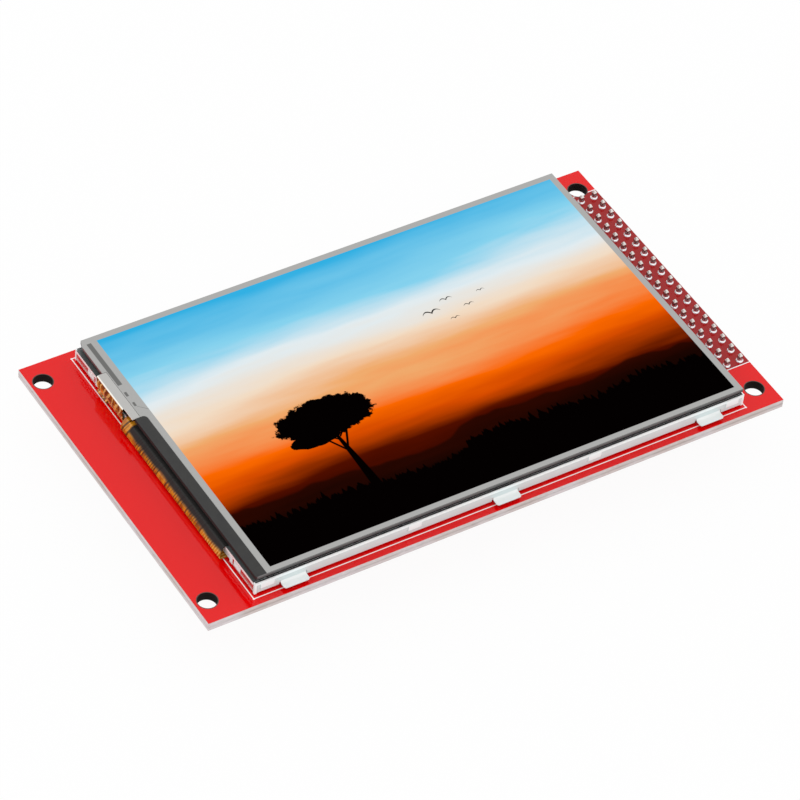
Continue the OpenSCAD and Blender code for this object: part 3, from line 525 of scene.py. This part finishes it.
def tailFinish():
    # clear film over grey ink on the panel, amber with silver tracks where it turns down
    f = Finish("tailFilm")
    filmLow = cornersOf("touch_film")[0][2]
    speck = f.noise(2.5, 3, 0.6)
    grey = f.blend(speck * 0.6, colour(*tailLook["ink"]), colour(*tailLook["inkDark"]))
    run = f.y + f.noise(0.5, 2) * 1.6 + (f.z - filmLow) * 0.5
    tracks = f.slab((run * 0.85).math("PINGPONG", 0.5), 0.0, 0.13, 0.06)
    thick = f.noiseAlong(run, 0.9, 2).rise(0.5, 0.6)
    age = f.noise(0.7, 2).rise(0.35, 0.65)
    amber = f.blend(age, colour(*tailLook["amber"]), colour(*tailLook["deep"]))
    amber = f.blend(thick * 0.6, amber, colour(*tailLook["track"]))
    # painted shade: dark brown patches, more of them towards the top, where the tail turns down under the tab
    upperShade = (f.noise(1, 2, 0.5, f.stretch(0.4, 0.4, 0.5)) + (f.z - filmLow) * 0.09).rise(0.3, 0.42)
    amber = f.blend(upperShade * 0.75, amber, colour(*tailLook["upperShade"]))
    amber = f.blend(tracks * 0.7, amber, colour(*tailLook["silver"]))
    onTop = f.z.rise(filmLow - 0.12, filmLow - 0.04)
    tone = f.blend(onTop, amber, grey)
    # painted highlight: the left-facing edge at the film's level is coloured near white
    rim = f.z.rise(filmLow - 0.1, filmLow - 0.05) * (-f.nx).rise(0.3, 0.5)
    tone = f.blend(rim, tone, colour(*tailLook["rim"]))
    return f.done(f.coat(tone, 0.24 + speck * 0.08, 0, f.bump(speck, 0.1, 0.03)))


dress(flexFinish(), "display_flex")
dress(tailFinish(), "touch_tail", "lamp_flex")


# touch panel and screen

screenLook = {"marginLeft": 2.75, "marginFront": 0.95, "margin": 1.1, "glow": 1.0}


def birdShape(f, x, y, size):
    # two arched wings, thinner towards their tips
    across = abs((f.x - x) / size)
    arch = (f.y - y) / size - 0.34 * (1 - (across * 2 - 1) * (across * 2 - 1))
    thin = 0.11 * (1 - across * 0.75)
    return (1 - (abs(arch) - thin).rise(-0.03, 0.03)) * (1 - across.rise(0.95, 1.0))


def treeShape(f, x, ground, tall):
    # a forked trunk under a ragged crown
    up = (f.y - ground) / tall
    side = (f.x - x) / tall
    ragged = f.noise(0.55, 4, 0.7) * 0.75 - 0.37
    crown = (side / 0.5) * (side / 0.5) + ((up - 0.78) / 0.24) * ((up - 0.78) / 0.24)
    shape = 1 - (crown + ragged * 1.6).rise(0.9, 1.0)
    low = ((side + 0.2) / 0.26) * ((side + 0.2) / 0.26) + ((up - 0.58) / 0.1) * ((up - 0.58) / 0.1)
    shape = shape.most(1 - (low + ragged).rise(0.9, 1.0))
    trunkWide = 0.018 + (0.5 - up).most(0) * 0.05
    stem = (1 - (abs(side + up * up * 0.05) - trunkWide).rise(-0.004, 0.004)) * (1 - up.rise(0.7, 0.75))
    for lean, start in ((-0.55, 0.3), (0.5, 0.36), (0.95, 0.5), (-1.0, 0.46)):
        arm = abs(side - (up - start) * lean) - 0.012
        stem = stem.most((1 - arm.rise(-0.004, 0.004)) * f.slab(up, start, 0.74, 0.01))
    return shape.most(stem * up.rise(-0.3, -0.25))


# the tree's place and height; each bird's place and half span, in millimetres
sceneLook = {"tree": (-17.0, -17.5, 17.5), "tufts": 1.1,
             "birds": ((10.5, 8.5, 1.7), (14.2, 10.2, 1.2), (17.0, 7.6, 1.0), (13.4, 5.9, 0.9),
                       (20.4, 9.6, 0.8)),
             "bank": (26, 6, 2), "silhouette": (3, 1, 1)}


def screenPicture(f, low, high):
    # evening sky over wooded ground with a lone tree and a few birds; u and v run from 0 to 1
    u = (f.x - low[0]) / (high[0] - low[0])
    v = (f.y - low[1]) / (high[1] - low[1])
    streaks = f.noise(1, 4, 0.55, f.stretch(0.012, 0.09, 0))
    level = v + (streaks - 0.5) * 0.3 + (u - 0.5) * -0.05
    sky = f.ramp(level, [(0.0, (2, 0, 0)), (0.13, (16, 2, 1)), (0.22, (78, 14, 0)), (0.33, (214, 76, 0)),
                         (0.41, (250, 104, 0)), (0.52, (240, 172, 110)), (0.62, (242, 220, 196)),
                         (0.72, (226, 236, 240)), (0.83, (134, 210, 238)), (1.0, (50, 176, 227))])
    # far bank, then the ground with small firs along its crest
    crest = f.noiseAlong(f.x, 0.045, 3) * 0.16 + 0.1
    bank = 1 - (v - crest - 0.03).rise(0.0, 0.012)
    tufts = (f.noiseAlong(f.x, sceneLook["tufts"], 4) - 0.5) * 0.07
    ground = 1 - (v - crest + 0.025 - tufts).rise(0.0, 0.006)
    black = colour(*sceneLook["silhouette"])
    view = f.blend(bank * 0.75, sky, colour(*sceneLook["bank"]))
    view = f.blend(ground, view, black)
    dark = treeShape(f, *sceneLook["tree"])
    for bird in sceneLook["birds"]:
        dark = dark.most(birdShape(f, *bird))
    return f.blend(dark, view, black)


# ink that shows through the left margin: sizes in millimetres from the film's left and back edges
marginInk = {"inset": -0.37, "bar": (1.24, 2.03, -11.5, -1.2), "marks": ((1.3, 1.75, -14.2, -13.2),
             (1.4, 1.8, -16.6, -15.7)), "tone": (84, 84, 82)}


def touchFilmFinish():
    f = Finish("touchFilm")
    low, high = cornersOf("touch_film")
    left, right = low[0] + screenLook["marginLeft"], high[0] - screenLook["margin"]
    front, back = low[1] + screenLook["marginFront"], high[1] - screenLook["margin"]
    top = f.nz.rise(0.5, 0.8)
    window = f.patch(left, right, front, back, 0.03) * top
    picture = screenPicture(f, (left, front), (right, back))
    lit = f.coat((0, 0, 0, 1), 0.1, 0, None, Emission_Color=picture, Emission_Strength=screenLook["glow"],
                 Specular_IOR_Level=0.0)
    speck = f.noise(2.5, 3, 0.6)
    grey = f.blend(speck * 0.6, colour(168, 168, 166), colour(154, 154, 152))
    # conductor bar, two contact marks and a silver track that show through the left margin
    left0 = low[0] + marginInk["inset"]
    bar, *marks = [f.patch(left0 + x0, left0 + x1, high[1] + y0, high[1] + y1, 0.06)
                   for x0, x1, y0, y1 in (marginInk["bar"], *marginInk["marks"])]
    slant = abs(f.x - left0 + (f.y - high[1]) - (1.9 - 16.9)) - 0.07
    track = (1 - slant.rise(-0.03, 0.03)) * f.slab(f.x, left0 + 1.7, left0 + 3.1)
    ink = bar.most(marks[0].most(marks[1])).most(track * 0.7) * top
    grey = f.blend(ink * 0.9, grey, colour(*marginInk["tone"]))
    edgeTone = f.blend(top, colour(96, 97, 97), grey)
    frost = f.coat(edgeTone, 0.2, 0, f.bump(speck, 0.06, 0.02))
    return f.done(f.mixShader(window, frost, lit))


def touchGlassFinish():
    # dark ink behind the glass; the ground edge gets a painted highlight line along its middle and painted
    # shade that darkens it towards the bottom
    f = Finish("touchGlassPane")
    low, high = cornersOf("touch_glass")
    flat = abs(f.nz).rise(0.5, 0.8)
    chips = f.noise(6, 3, 0.65)
    glint = f.line(f.z, high[2] - 0.22, 0.1, 0.04) * f.noise(0.5, 1).rise(0.35, 0.6)
    deep = f.z.rise(low[2], high[2])
    edge = f.blend(chips * 0.3 + deep * 0.5 + glint * 0.4, colour(16, 17, 17), colour(96, 97, 97))
    tone = f.blend(flat, edge, colour(40, 42, 42))
    return f.done(f.coat(tone, 0.34 - flat * 0.25 + chips * 0.05, 0, f.bump(chips, 0.1, 0.03)))


dress(touchFilmFinish(), "touch_film")
dress(mouldedFinish("touchSpacer", (150, 150, 150), (138, 138, 138), 0.4, 3, 0.1), "touch_spacer")
dress(touchGlassFinish(), "touch_glass")


def ledgeTapeFinish():
    f = Finish("ledgeTape")
    smudge = f.noise(0.5, 4, 0.65)
    tone = f.blend(smudge.rise(0.35, 0.7), colour(20, 20, 19), colour(32, 32, 30))
    # painted shade: the left-facing side of the tape is coloured darker than its top
    side = (-f.nx).rise(0.4, 0.7)
    tone = f.blend(side, tone, colour(6, 6, 6))
    return f.done(f.coat(tone, 0.3 + smudge * 0.3 + side * 0.3, 0, f.bump(smudge, 0.15, 0.05)))


dress(ledgeTapeFinish(), "ledge_tape")

# underside

dress(mouldedFinish("chipResin", (24, 24, 26), (36, 36, 38), 0.5, 8, 0.3),
      "bus_chips", "touch_chip", "regulator", "lamp_transistor")
dress(solderFinish("leadTin", (212, 212, 214), (176, 176, 180), 0.28), "bus_chip_leads", "touch_chip_leads",
      "regulator_leads")
dress(mouldedFinish("socketPlastic", (18, 18, 19), (30, 30, 31), 0.45), "socket_base")
dress(solderFinish("coverSteel", (206, 206, 204), (184, 183, 180), 0.25), "socket_cover")
dress(solderFinish("contactGold", (226, 186, 96), (196, 150, 66), 0.25), "socket_contacts")
dress(mouldedFinish("tantalumResin", (222, 160, 44), (206, 140, 34), 0.4), "tantalum_capacitors")
dress(mouldedFinish("ceramicBody", (170, 134, 92), (150, 114, 76), 0.45), "ceramic_capacitors")
dress(mouldedFinish("resistorGlaze", (22, 22, 24), (34, 34, 36), 0.3), "chip_resistors", "resistor_arrays")
print("finishes ready")
